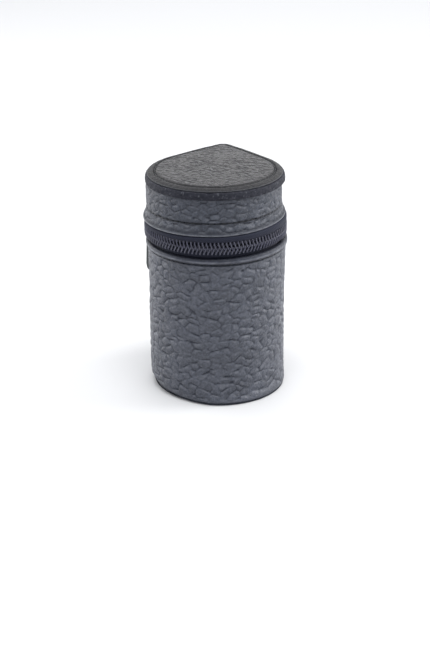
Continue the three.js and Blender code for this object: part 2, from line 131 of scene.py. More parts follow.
VIEW_AZIMUTH = math.radians(6.07)
VIEW_ELEVATION = math.radians(21.42)
VIEW_DISTANCE = 600.0
VIEW_HEIGHT = 45.0
AIM_DOWN = math.radians(1.886)
AIM_LEFT = math.radians(0.067)
ROLL = math.radians(-0.671)
LENS = 80.95


def make_camera():
    """A camera in front of the cup, a little to the right and above."""
    data = bpy.data.cameras.new("camera")
    data.lens = LENS
    data.sensor_width = 36
    data.clip_start = 0.01
    camera = bpy.data.objects.new("camera", data)
    flat = math.cos(VIEW_ELEVATION)
    back = Vector((
        math.sin(VIEW_AZIMUTH) * flat,
        -math.cos(VIEW_AZIMUTH) * flat,
        math.sin(VIEW_ELEVATION),
    ))
    right = Vector((0, 0, 1)).cross(back).normalized()
    up = back.cross(right)
    turn = Matrix((right, up, back)).transposed()
    aim = Matrix.Rotation(-AIM_DOWN, 3, "X") @ Matrix.Rotation(AIM_LEFT, 3, "Y")
    roll = Matrix.Rotation(ROLL, 3, "Z")
    stand = Vector((0, 0, VIEW_HEIGHT)) + back * VIEW_DISTANCE
    camera.matrix_world = Matrix.Translation(stand * MM) @ (turn @ aim @ roll).to_4x4()
    bpy.context.scene.collection.objects.link(camera)
    bpy.context.scene.camera = camera


SOFTBOXES = (
    # name, place in metres, side in metres, watts
    ("top_softbox", (0.04, -0.16, 0.72), 0.35, 3.0),
    ("left_softbox", (-0.7, 0.3, 0.3), 0.5, 2.7),
    ("right_softbox", (0.75, 0.2, 0.4), 0.4, 4.6),
    ("back_softbox", (0.0, 1.05, 0.7), 0.9, 2.6),
)


def softbox(name, stand, side, power):
    """A square lamp that faces the middle of the cup."""
    data = bpy.data.lights.new(name, "AREA")
    data.size = side
    data.energy = power
    lamp = bpy.data.objects.new(name, data)
    lamp.location = stand
    aim = Vector((0, 0, VIEW_HEIGHT * MM)) - Vector(stand)
    lamp.rotation_euler = aim.to_track_quat("-Z", "Y").to_euler()
    bpy.context.scene.collection.objects.link(lamp)


ROOM_FRONT = (0.25, 0.275, 0.34, 1)  # the room behind the camera
ROOM_BACK = (1.2, 1.2, 1.2, 1)  # the white walls round the rest of the table
ROOM_ABOVE = (0.88, 0.9, 0.95, 1)
FLOOR_SIZE = 12.0
FLOOR_COLOUR = (0.66, 0.66, 0.66, 1)


def make_room():
    """White surroundings, dimmer and bluer on the camera's side."""
    world = bpy.data.worlds.new("room")
    world.use_nodes = True
    tree = world.node_tree
    direction = add(tree, "TexCoord", {}).outputs["Generated"]
    parts = add(tree, "SeparateXYZ", {0: direction})
    to_back = ranged(tree, parts.outputs["Y"], -0.75, 0.15, 0, 1)
    upwards = ranged(tree, parts.outputs["Z"], 0.35, 0.8, 0, 1)
    walls = mixed(tree, to_back, ROOM_FRONT, ROOM_BACK)
    background = tree.nodes["Background"]
    tree.links.new(mixed(tree, upwards, walls, ROOM_ABOVE), background.inputs["Color"])
    background.inputs["Strength"].default_value = 1.0
    bpy.context.scene.world = world


def make_studio():
    """The room, its lamps and a white floor."""
    make_room()
    bpy.context.scene.view_settings.view_transform = "Standard"
    for box in SOFTBOXES:
        softbox(*box)
    bpy.ops.mesh.primitive_plane_add(size=FLOOR_SIZE, location=(0, 0, 0))
    floor = bpy.context.object
    floor.name = "floor"
    floor.data.materials.append(blank_material("floor", Base_Color=FLOOR_COLOUR, Roughness=0.8)[0])


make_camera()
make_studio()

# ---- The plan ----

FLANK_ANGLE = math.radians(48)  # from the back to where the wall faces on each straight flank
cup_low, cup_high = node_box("body_leather")
CUP_RADIUS = -cup_low[0]
flank_cosine = math.cos(FLANK_ANGLE)
POINT_RADIUS = (CUP_RADIUS - cup_high[1] * flank_cosine) / (1 - flank_cosine)
CENTRE_DROP = CUP_RADIUS - POINT_RADIUS
POINT_CENTRE = CENTRE_DROP / flank_cosine

point_arc = POINT_RADIUS * FLANK_ANGLE
flank = POINT_CENTRE * math.sin(FLANK_ANGLE)
front_angle = 2 * math.pi - 2 * FLANK_ANGLE
front_arc = CUP_RADIUS * front_angle
ROUND = 2 * point_arc + 2 * flank + front_arc
KNOT_S = np.cumsum([0, point_arc, flank, front_arc, flank, point_arc])
BACK = math.pi / 2
KNOT_ANGLE = BACK + np.cumsum([0, FLANK_ANGLE, 0, front_angle, 0, FLANK_ANGLE])
KNOT_SHARE = np.array([1, 1, 0, 0, 1, 1.0])  # 1 on the back point's arc and 0 on the round front
FULL = 500  # stations round a whole wall
STATIONS = np.arange(FULL) * ROUND / FULL

PINCH = 0.5  # how far the flanks draw in on each side of the back point
PINCH_PLACE = 6.5  # how far from the point they draw in most
PINCH_WIDTH = 3.2  # how far round that reaches


def plan(s):
    """Points of the cup's outer plan at distance s round it, and which way the wall faces there."""
    s = np.mod(s, ROUND)
    angle = np.interp(s, KNOT_S, KNOT_ANGLE)
    share = np.interp(s, KNOT_S, KNOT_SHARE)
    facing = np.stack([np.cos(angle), np.sin(angle)], -1)
    centre = np.stack([np.zeros_like(share), share * POINT_CENTRE], -1)
    from_point = np.minimum(s, ROUND - s)
    pinch = PINCH * np.exp(-((from_point - PINCH_PLACE) / PINCH_WIDTH) ** 2)
    return centre + (CUP_RADIUS - share * CENTRE_DROP - pinch)[..., None] * facing, facing


def place(s, rho, z):
    """Points in millimetres at these distances round the plan, radii and heights."""
    s, rho, z = np.broadcast_arrays(np.asarray(s, float), rho, z)
    at, facing = plan(s)
    flat = at + (rho - CUP_RADIUS)[..., None] * facing
    return np.concatenate([flat, z[..., None]], -1)


# ---- Noise ----

TABLE_ROWS = 512  # rows of random numbers before a pattern repeats upwards


def smooth(low, high, value):
    """0 up to low, 1 from high on, and an even curve between."""
    t = np.clip((value - low) / (high - low), 0, 1)
    return t * t * (3 - 2 * t)


def band(value, middle, half_width):
    """1 at the middle and falling off to 0 on both sides of it."""
    return np.exp(-((value - middle) / half_width) ** 2)


def noise(u, v, wrap, seed):
    """Smooth noise from -1 to 1 on a unit grid that repeats after wrap steps of u."""
    table = np.random.default_rng(seed).uniform(-1, 1, (wrap, TABLE_ROWS))
    i, j = np.floor(u).astype(int), np.floor(v).astype(int)
    a, b = u - i, v - j
    a, b = a * a * (3 - 2 * a), b * b * (3 - 2 * b)

    def corner(di, dj):
        return table[(i + di) % wrap, (j + dj) % TABLE_ROWS]

    low = corner(0, 0) * (1 - a) + corner(1, 0) * a
    high = corner(0, 1) * (1 - a) + corner(1, 1) * a
    return low * (1 - b) + high * b


def cells(u, v, wrap, seed):
    """The gap between the distances to the two nearest of one random point per unit cell, and the
    rise from the nearest to the other, from -1 straight down to 1 straight up.

    Odd columns stand half a cell higher, so wrap has to be even."""
    table = np.random.default_rng(seed).uniform(0.14, 0.86, (wrap, TABLE_ROWS, 2))
    table[1::2, :, 1] += 0.5
    i, j = np.floor(u).astype(int), np.floor(v).astype(int)
    first = np.full(u.shape, 9.0)
    second = np.full(u.shape, 9.0)
    first_at = np.zeros(u.shape + (2,))
    second_at = np.zeros(u.shape + (2,))
    for di in (-1, 0, 1):
        for dj in (-2, -1, 0, 1):
            point = table[(i + di) % wrap, (j + dj) % TABLE_ROWS]
            at = np.stack([i + di + point[..., 0] - u, j + dj + point[..., 1] - v], -1)
            gap = np.hypot(at[..., 0], at[..., 1])
            nearest = gap < first
            next_nearest = ~nearest & (gap < second)
            farther = np.where(next_nearest[..., None], at, second_at)
            second_at = np.where(nearest[..., None], first_at, farther)
            second = np.where(nearest, first, np.where(next_nearest, gap, second))
            first_at = np.where(nearest[..., None], at, first_at)
            first = np.where(nearest, gap, first)
    between = second_at - first_at
    span = np.maximum(np.hypot(between[..., 0], between[..., 1]), 1e-9)
    return second - first, between[..., 1] / span


def wobble(s, size, seed, waves=(2, 3, 5, 8, 13)):
    """A slow unevenness round the plan, as hand work leaves it."""
    phases = np.random.default_rng(seed).uniform(0, 2 * math.pi, len(waves))
    total = sum(np.cos(2 * math.pi * n * s / ROUND + p) / n ** 0.7 for n, p in zip(waves, phases))
    return size * total / len(waves)


PEBBLE_WIDE = 4.3
PEBBLE_HIGH = 3.25
PEBBLE_DEPTH = 0.62
WRINKLE_DEPTH = 0.13
BEND = 0.34  # how far creases wander, as a share of a pebble
FINE_BEND = 0.05


def grain(s, t, length, seed, scale=1.0, level_bias=0.7):
    """Pebbled leather: its relief in millimetres, how much painted shade each point has, in a crease
    and on a pebble's lower side, and how much painted highlight it has on a pebble's upper edge, both 0 to
    1.

    Creases that run level are deeper than upright ones by level_bias. The pattern meets itself after
    this length of s."""
    s, t = np.broadcast_arrays(s, t)
    wrap = 2 * max(1, round(length / (2 * PEBBLE_WIDE * scale)))
    u = s / length * wrap
    v = t / (PEBBLE_HIGH * scale) + 40
    fine_u, fine_v, fine_wrap = 2 * u, 2 * v, 2 * wrap
    bend_u = BEND * noise(u, v, wrap, seed + 1) + FINE_BEND * noise(fine_u, fine_v, fine_wrap, seed + 2)
    bend_v = BEND * noise(u, v, wrap, seed + 3) + FINE_BEND * noise(fine_u, fine_v, fine_wrap, seed + 4)
    gap, rise = cells(u + bend_u, v + bend_v, wrap, seed + 5)
    upright = level_bias * (1 - np.abs(rise)) ** 0.8
    strength = smooth(-0.7, 0.5, noise(fine_u, fine_v, fine_wrap, seed + 6)) * (1 - upright)
    fine_gap, fine_rise = cells(fine_u + bend_u, fine_v + bend_v, fine_wrap, seed + 7)
    some = smooth(-0.4, 0.8, noise(u, 1.3 * v, wrap, seed + 8)) * (1 - 0.7 * (1 - np.abs(fine_rise)))
    valley = 0.55 * (1 - smooth(0, 0.9, gap)) + 0.45 * (1 - smooth(0, 0.32, gap))
    valley = valley * (0.25 + 0.75 * strength)
    fine = (1 - smooth(0, 0.4, fine_gap)) * some
    relief = -scale * (PEBBLE_DEPTH * valley + WRINKLE_DEPTH * fine)
    # Light falls from above: painted shade goes on each pebble's lower side, painted highlight on its
    # upper edge.
    below, above = np.clip(-rise, 0, 1), np.clip(rise, 0, 1)
    # Painted shade: dark in the creases and, more broadly, on each pebble's lower side.
    shade_and_dullness = 0.9 * (1 - smooth(0.0, 0.19, gap)) * strength + 0.2 * (1 - smooth(0, 0.24, fine_gap)) * some
    shade_and_dullness = shade_and_dullness + 0.32 * band(gap, 0.1, 0.45) * below * (0.4 + 0.6 * strength)
    # Painted highlight on each pebble's upper edge.
    painted_highlight = band(gap, 0.36, 0.24) * above * (0.3 + 0.7 * strength)
    painted_highlight = painted_highlight + 0.4 * band(fine_gap, 0.38, 0.2) * np.clip(fine_rise, 0, 1) * some
    return relief, np.clip(shade_and_dullness, 0, 1), np.clip(painted_highlight, 0, 1)


# ---- Meshes ----


def mesh_object(name, points, faces, material, body, replaced, attributes=None, uv=None):
    """Makes a smooth-shaded piece from millimetre points, hides the CAD nodes that it replaces and hangs
    it on its body.

    Any quads come first among the faces. uv is in millimetres, with the distance round first. A
    piece that crosses the hinge has no body of its own."""
    mesh = bpy.data.meshes.new(name)
    mesh.from_pydata((np.asarray(points) * MM).tolist(), [], [list(f) for f in faces])
    mesh.update()
    for key, values in (attributes or {}).items():
        layer = mesh.attributes.new(key, "FLOAT", "POINT")
        layer.data.foreach_set("value", np.ravel(values).astype(np.float32))
    if uv is not None:
        corners = np.zeros(len(mesh.loops), int)
        mesh.loops.foreach_get("vertex_index", corners)
        flat = np.asarray(uv, np.float32)[corners]
        quads = 4 * sum(1 for f in faces if len(f) == 4)
        along = flat[:quads, 0].reshape(-1, 4)
        behind = along.max(1, keepdims=True) - along > ROUND / 2
        flat[:quads, 0] = (along + behind * ROUND).ravel()
        mesh.uv_layers.new(name="surface").data.foreach_set("uv", flat.ravel())
    mesh.polygons.foreach_set("use_smooth", [True] * len(mesh.polygons))
    mesh.materials.append(material)
    piece = bpy.data.objects.new(name, mesh)
    bpy.context.scene.collection.objects.link(piece)
    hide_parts(*replaced)
    if body:
        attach(piece, body)
    return piece


def grid_faces(rows, columns, wrap_rows, wrap_columns):
    """Quads over a grid of points that is rows long and columns wide."""
    i = np.arange(rows if wrap_rows else rows - 1)[:, None]
    j = np.arange(columns if wrap_columns else columns - 1)[None, :]
    i, j = np.broadcast_arrays(i, j)
    k, m = (i + 1) % rows, (j + 1) % columns
    quads = np.stack([i * columns + j, k * columns + j, k * columns + m, i * columns + m], -1)
    return quads.reshape(-1, 4)


COARSE = 4.0  # spacing of an outline's points where no corner gives one
CORNER_PIECES = 3  # the fewest pieces that a rounded corner has


def section(*corners):
    """A closed outline of (rho, z) points, anticlockwise, from (rho, z, rounding, step) corners.

    step is the spacing of points round the corner and along the straight that follows it."""
    corners = [(*corner, *(0.0, COARSE)[len(corner) - 2:]) for corner in corners]
    cuts = []
    for i, (rho, z, rounding, _) in enumerate(corners):
        here = np.array((rho, z))
        before = np.array(corners[i - 1][:2]) - here
        after = np.array(corners[(i + 1) % len(corners)][:2]) - here
        reach = min(rounding, 0.49 * np.linalg.norm(before), 0.49 * np.linalg.norm(after))
        start = here + before / np.linalg.norm(before) * reach
        end = here + after / np.linalg.norm(after) * reach
        cuts.append((start, here, end, reach))
    points = []
    for i, (start, here, end, reach) in enumerate(cuts):
        step = corners[i][3]
        if reach > 0:
            pieces = max(CORNER_PIECES, round(1.6 * reach / step))
            for t in np.linspace(0, 1, pieces + 1):
                points.append((1 - t) ** 2 * start + 2 * t * (1 - t) * here + t ** 2 * end)
        else:
            points.append(here)
        following = cuts[(i + 1) % len(cuts)][0]
        pieces = max(1, round(np.linalg.norm(following - end) / step))
        for t in np.arange(1, pieces) / pieces:
            points.append(end + (following - end) * t)
    return np.array(points)


def section_normals(outline):
    """The outward direction at each point of an outline."""
    along = np.roll(outline, -1, 0) - np.roll(outline, 1, 0)
    normal = np.stack([along[:, 1], -along[:, 0]], -1)
    return normal / np.linalg.norm(normal, axis=1, keepdims=True)


def section_lengths(outline):
    """How far along an outline each of its points is."""
    steps = np.linalg.norm(np.diff(outline, axis=0), axis=1)
    return np.concatenate([[0], np.cumsum(steps)])


def swept(name, outline, material, body, replaced, relief, s=None, attributes=None, shift=None):
    """Sweeps an outline round the plan, moved by shift(s, outline) and pushed out by the relief.

    Without s the sweep goes all the way round. With s it runs over those places and is capped."""
    whole = s is None
    s = STATIONS if whole else s
    rho = np.broadcast_to(outline[:, 0], (len(s), len(outline))).copy()
    z = np.broadcast_to(outline[:, 1], rho.shape).copy()
    if shift:
        move_rho, move_z = shift(s[:, None], outline[None])
        rho, z = rho + move_rho, z + move_z
    normal = section_normals(outline)
    rho = rho + relief * normal[:, 0]
    z = z + relief * normal[:, 1]
    points = place(s[:, None], rho, z).reshape(-1, 3)
    faces = grid_faces(len(s), len(outline), whole, True).tolist()
    if not whole:
        count = len(outline)
        faces.append(list(range(count)))
        faces.append([(len(s) - 1) * count + i for i in reversed(range(count))])
    lengths = section_lengths(outline)
    uv = np.stack(np.broadcast_arrays(s[:, None], lengths[None]), -1).reshape(-1, 2)
    mesh_object(name, points, faces, material, body, replaced, attributes, uv)


GRAIN_FADE = 0.8  # half the height over which the grain fades out at an edge


def relief_on(outline, seed, low, high, scale=1.0):
    """Leather grain over the part of an outline that faces outwards between two heights."""
    z = outline[:, 1]
    outward = smooth(0.3, 0.7, section_normals(outline)[:, 0])
    begun = smooth(low - GRAIN_FADE, low + GRAIN_FADE, z)
    ended = smooth(high - GRAIN_FADE, high + GRAIN_FADE, z)
    mask = begun * (1 - ended) * outward
    height, shade_and_dullness, painted_highlight = grain(STATIONS[:, None], z, ROUND, seed, scale)
    return height * mask, shade_and_dullness * mask, painted_highlight * mask


RIDGE_HIGHLIGHT = 0.3  # how far towards the pale colour the pebbles' upper edges are painted, as painted highlight
PANEL_MIDDLE = 4.0  # how far behind the round front's centre the rings of a disc close
PANEL_RINGS = 62
DISC_REPEAT = 120.0  # after how far a disc's grain would repeat
DISC_SHIFT = 60  # keeps a disc inside one repeat


def panel(name, rim, inside_z, material, body, replaced, relief, flip=False):
    """A disc. rim is its edge as (rho, z) points going in, and inside_z(share) its height from there
    to the middle. relief(x, y) gives what grain() gives. A flipped disc faces down."""
    rings = [place(STATIONS, rho, z) for rho, z in rim]
    last = rings[-1]
    middle = np.array((0.0, PANEL_MIDDLE, 0.0))
    for share in np.linspace(1, 0, PANEL_RINGS)[1:-1]:
        ring = middle + (last - middle) * share
        ring[:, 2] = last[:, 2] + inside_z(share)
        rings.append(ring)
    grid = np.stack(rings)
    hub = np.array([[0.0, PANEL_MIDDLE, last[0, 2] + inside_z(0.0)]])
    height, shade_and_dullness, painted_highlight = relief(grid[..., 0], grid[..., 1])
    height[:len(rim)] *= np.linspace(0, 1, len(rim))[:, None] ** 0.5
    grid[..., 2] += -height if flip else height
    points = np.concatenate([grid.reshape(-1, 3), hub])
    faces = grid_faces(len(rings), FULL, False, True)[:, ::-1]
    count = len(points) - 1
    start = (len(rings) - 1) * FULL
    fan = [[start + i, start + (i + 1) % FULL, count] for i in range(FULL)]
    faces = [list(f) for f in faces] + fan + [list(range(FULL))[::-1]]
    if flip:
        faces = [f[::-1] for f in faces]
    uv = points[:, :2] + 100
    # Painted highlight on the pebbles' upper edges, and painted shade in the creases.
    wear_and_highlight = RIDGE_HIGHLIGHT * painted_highlight
    attributes = {"shade_and_dullness": np.append(shade_and_dullness.ravel(), 0), "wear_and_highlight": np.append(wear_and_highlight.ravel(), 0)}
    mesh_object(name, points, faces, material, body, replaced, attributes, uv)


def tubes(name, paths, radii, reference, material, body, replaced, facets=7, closed=False):
    """One mesh of many tubes. paths is (tubes, points, 3), and radii two radii or one at each point:
    along the reference direction, which is never along a path, and across it."""
    if closed:
        along = np.roll(paths, -1, 1) - np.roll(paths, 1, 1)
    else:
        along = np.gradient(paths, axis=1)
    along /= np.linalg.norm(along, axis=-1, keepdims=True)
    across = np.cross(along, reference)
    across /= np.linalg.norm(across, axis=-1, keepdims=True)
    upright = np.cross(across, along)
    turn = np.arange(facets) * 2 * math.pi / facets
    radii = np.broadcast_to(radii, paths.shape[:2] + (2,))
    ring = (
        radii[..., None, None, 0] * np.cos(turn)[:, None] * upright[:, :, None]
        + radii[..., None, None, 1] * np.sin(turn)[:, None] * across[:, :, None]
    )
    points = paths[:, :, None] + ring
    count, length = paths.shape[:2]
    one = grid_faces(length, facets, closed, True)
    quads = (one[None] + (np.arange(count) * length * facets)[:, None, None]).reshape(-1, 4)[:, ::-1]
    faces = quads.tolist()
    if not closed:
        for i in range(count):
            first = i * length * facets
            last = first + (length - 1) * facets
            faces.append([first + k for k in reversed(range(facets))])
            faces.append([last + k for k in range(facets)])
    mesh_object(name, points.reshape(-1, 3), faces, material, body, replaced)


# ---- Materials ----


def shade(colour, factor):
    """A colour made darker or paler, with the alpha that a node wants."""
    return (*(factor * c for c in colour), 1)


def surface_uv(tree):
    """The place on a piece's surface, in millimetres."""
    return add(tree, "UVMap", {}, uv_map="surface").outputs["UV"]


def cloudy(tree, at, scale, detail, **more):
    """The value of a noise texture."""
    return add(tree, "TexNoise", {"Vector": at, "Scale": scale, "Detail": detail, **more}).outputs["Fac"]


def weighed(tree, value, factor, plus):
    """value * factor + plus, each a constant or a socket."""
    return add(tree, "Math", {0: value, 1: factor, 2: plus}, operation="MULTIPLY_ADD").outputs[0]


def tinted(tree, shader, share, colour, dark, pale):
    """Colours the surface between two shades of a colour, by a share from a socket."""
    tone = mixed(tree, share, shade(colour, dark), shade(colour, pale))
    tree.links.new(tone, shader.inputs["Base Color"])


def bumped(tree, shader, height, depth):
    """Gives the surface a relief of this depth in millimetres, from a height socket."""
    bump = add(tree, "Bump", {"Height": height, "Distance": depth * MM, "Strength": 1.0})
    tree.links.new(bump.outputs["Normal"], shader.inputs["Normal"])


WORN_AND_HIGHLIT = (0.25, 0.26, 0.29, 1)  # pale leather: rubbed-off dye at frayed specks, and the colour of painted highlights
PAINTED_CREASE_SHADE = 0.16  # how dark the painted shade in a crease is beside the leather round it
CREASE_DULLNESS = 0.35  # how much rougher it is


def leather_material(name, colour, pore, depth, rough=(0.3, 0.44), gloss=0.5):
    """Dyed leather: painted shade in its creases, painted highlights and frayed specks, rubbed paler in
    patches, with fine pores between.

    pore is the width of a pore and depth its depth, in millimetres."""
    material, tree, shader = blank_material(name, Specular_IOR_Level=gloss)
    uv = surface_uv(tree)
    shade_and_dullness = add(tree, "Attribute", {}, attribute_name="shade_and_dullness").outputs["Fac"]
    patch = cloudy(tree, uv, 0.11, 4.0)
    mottle = cloudy(tree, uv, 0.9, 3.0)
    rubbed_and_highlit = ranged(tree, patch, 0.35, 0.68, 0, 1)
    tone = mixed(tree, rubbed_and_highlit, shade(colour, 0.92), shade(colour, 1.25))
    tone = mixed(tree, ranged(tree, mottle, 0.42, 0.7, 0, 0.5), tone, shade(colour, 0.45))
    tone = mixed(tree, ranged(tree, mottle, 0.5, 0.3, 0, 0.35), tone, shade(colour, 1.9))
    # Painted shade in the creases, tinted bluer.
    red, green, blue, _ = shade(colour, PAINTED_CREASE_SHADE)
    tone = mixed(tree, ranged(tree, shade_and_dullness, 0.0, 0.9, 0, 1), tone, (0.8 * red, green, 1.5 * blue, 1))
    # The pale colour: painted highlights, and rubbed-off dye at frayed specks.
    wear_and_highlight = add(tree, "Attribute", {}, attribute_name="wear_and_highlight").outputs["Fac"]
    tone = mixed(tree, wear_and_highlight, tone, WORN_AND_HIGHLIT)
    tree.links.new(tone, shader.inputs["Base Color"])
    polish = ranged(tree, mottle, 0.3, 0.7, *rough)
    tree.links.new(weighed(tree, shade_and_dullness, CREASE_DULLNESS, polish), shader.inputs["Roughness"])
    pores = add(tree, "TexVoronoi", {"Vector": uv, "Scale": 1 / pore}, feature="DISTANCE_TO_EDGE")
    pores = ranged(tree, pores.outputs["Distance"], 0, 0.22, 0, 1)
    fibre = cloudy(tree, uv, 5.0, 3.0)
    bumped(tree, shader, weighed(tree, fibre, 0.6, pores), depth)
    return material


def woven_material(name, colour):
    """Close twill tape."""
    surface = {"Roughness": 0.85, "Sheen_Weight": 0.06, "Specular_IOR_Level": 0.2}
    material, tree, shader = blank_material(name, **surface)
    uv = surface_uv(tree)
    wave = {"Vector": uv, "Scale": 0.75, "Distortion": 0.6, "Detail": 2.0}
    weft = add(tree, "TexWave", wave, bands_direction="DIAGONAL").outputs["Fac"]
    tinted(tree, shader, weft, colour, 0.6, 1.5)
    bumped(tree, shader, weighed(tree, weft, 0.7, cloudy(tree, uv, 3.0, 3.0)), 0.08)
    return material


def felt_material(name, colour):
    """Brushed felt."""
    material, tree, shader = blank_material(name, Roughness=1.0, Sheen_Weight=0.5, Sheen_Roughness=0.6)
    fluff = cloudy(tree, surface_uv(tree), 1.6, 6.0, Roughness=0.7)
    tinted(tree, shader, fluff, colour, 0.5, 1.6)
    bumped(tree, shader, fluff, 0.25)
    return material


def speckled_material(name, colour, tones, scale, detail, depth, rough=None, **surface):
    """A material whose tone, relief and, with a rough range, roughness follow one fine noise.

    scale is in noise cells to a metre, and depth in millimetres."""
    material, tree, shader = blank_material(name, **surface)
    place_at = add(tree, "TexCoord", {}).outputs["Object"]
    speck = cloudy(tree, place_at, scale, detail)
    tinted(tree, shader, speck, colour, *tones)
    if rough:
        tree.links.new(ranged(tree, speck, 0.3, 0.7, *rough), shader.inputs["Roughness"])
    bumped(tree, shader, speck, depth)
    return material


LEATHER_COLOUR = (0.069, 0.075, 0.095)
# The lid's wall is the cup's leather painted darker, partly as painted shade from the rim above.
LID_COLOUR = (0.048, 0.054, 0.071)
PANEL_COLOUR = (0.021, 0.020, 0.022)
BINDING_COLOUR = (0.032, 0.033, 0.046)
LIP_COLOUR = (0.040, 0.044, 0.060)
THREAD_COLOUR = (0.013, 0.014, 0.018)
TAPE_COLOUR = (0.017, 0.019, 0.032)
FELT_COLOUR = (0.02, 0.021, 0.025)
BOARD_COLOUR = (0.30, 0.24, 0.17)
NYLON_COLOUR = (0.056, 0.057, 0.084)
METAL_COLOUR = (0.06, 0.066, 0.066)
leather = leather_material("leather", LEATHER_COLOUR, 0.9, 0.11)
lid_leather = leather_material("lid_leather", LID_COLOUR, 0.8, 0.11, gloss=0.45)
panel_leather = leather_material("panel_leather", PANEL_COLOUR, 0.7, 0.1, gloss=0.3)
binding = leather_material("binding", BINDING_COLOUR, 0.5, 0.05, rough=(0.42, 0.6), gloss=0.3)
lip_leather = leather_material("lip_leather", LIP_COLOUR, 0.5, 0.03, rough=(0.3, 0.42), gloss=0.35)
# Waxed thread, with the twist of its plies.
thread = speckled_material("thread", THREAD_COLOUR, (0.5, 1.7), 2600.0, 2.0, 0.04,
                           Roughness=0.5, Sheen_Weight=0.2)
tape = woven_material("tape", TAPE_COLOUR)
felt = felt_material("felt", FELT_COLOUR)
# Pulp board, with its fibres.
board = speckled_material("board", BOARD_COLOUR, (0.7, 1.25), 900.0, 5.0, 0.1, Roughness=0.95)
# Dyed nylon, a little worn on its outside.
nylon = speckled_material("nylon", NYLON_COLOUR, (0.7, 1.4), 700.0, 3.0, 0.02, (0.28, 0.45),
                          Specular_IOR_Level=0.55)
# Dark enamelled metal, with handling marks.
metal = speckled_material("metal", METAL_COLOUR, (0.75, 1.3), 450.0, 5.0, 0.015, (0.28, 0.48),
                          Metallic=0.6, Coat_Weight=0.35, Coat_Roughness=0.2)

for node in ("base_board", "body_board", "lid_wall_board", "lid_top_board"):
    mesh = frame["nodes"][node].data
    mesh.materials.clear()
    mesh.materials.append(board)

# ---- Unevenness ----


def sides(s):
    """How far a place lies to the left and to the right, each 0 to 1."""
    across = plan(s)[0][..., 0] / CUP_RADIUS
    return np.clip(-across, 0, 1) ** 1.5, np.clip(across, 0, 1) ** 1.5


HEM_TILT = 0.9  # how far the hem rises at the right
HEM_DROP = 0.55  # the share of that by which it drops at the left
HEM_WOBBLE = 0.15  # how far it wanders up and down
SEAM_WOBBLE = 0.12  # how far the cup's seam does


def hem_lift(s):
    """How much higher the hem is at each place than it would be on a true lid."""
    left, right = sides(s)
    return HEM_TILT * (right - HEM_DROP * left) + wobble(s, HEM_WOBBLE, 52)


def seam_drop(s):
    """How much lower the cup's seam is at each place than on a true cup."""
    return wobble(s, SEAM_WOBBLE, 6)


def highlight_stretches(stations, seed):
    """Where a painted highlight along an edge comes and goes over so many stations, from -1 to 1."""
    return noise(np.arange(FULL)[:, None] / stations, 3.5, FULL // stations, seed)


# ---- Cup: leather ----

FINE = 0.41  # spacing of the points of a wall that shows its grain
WALL_INNER = 26.35
WALL_FOOT = 0.12
CUT_EDGE = 1.0  # how high the wall's cut edge reaches, below which it is painted dark as shade along the foot
WALL_TOP = 60.95
SEAM = 60.35
GROOVE_DEPTH = 0.55
GROOVE_HALF = 0.42
GROOVE_SHADE = 0.3  # half-width of the painted shade in a groove
RIGHT_BULGE = 0.45  # how far the wall stands out at the right
RIGHT_BULGE_HIGH = 0.4  # how much further it does so near its top
LEFT_BULGE = 0.22  # how far its lower half stands out at the left
FOOT_CORNER = 1.3  # how far the foot's front right corner is pushed out
FOOT_DRAW = 2.1  # how far the foot is drawn in at the left
FOOT_LIFT = 1.0  # how far it is lifted there
FOOT_DROP = 0.1  # how far it is lowered at the right


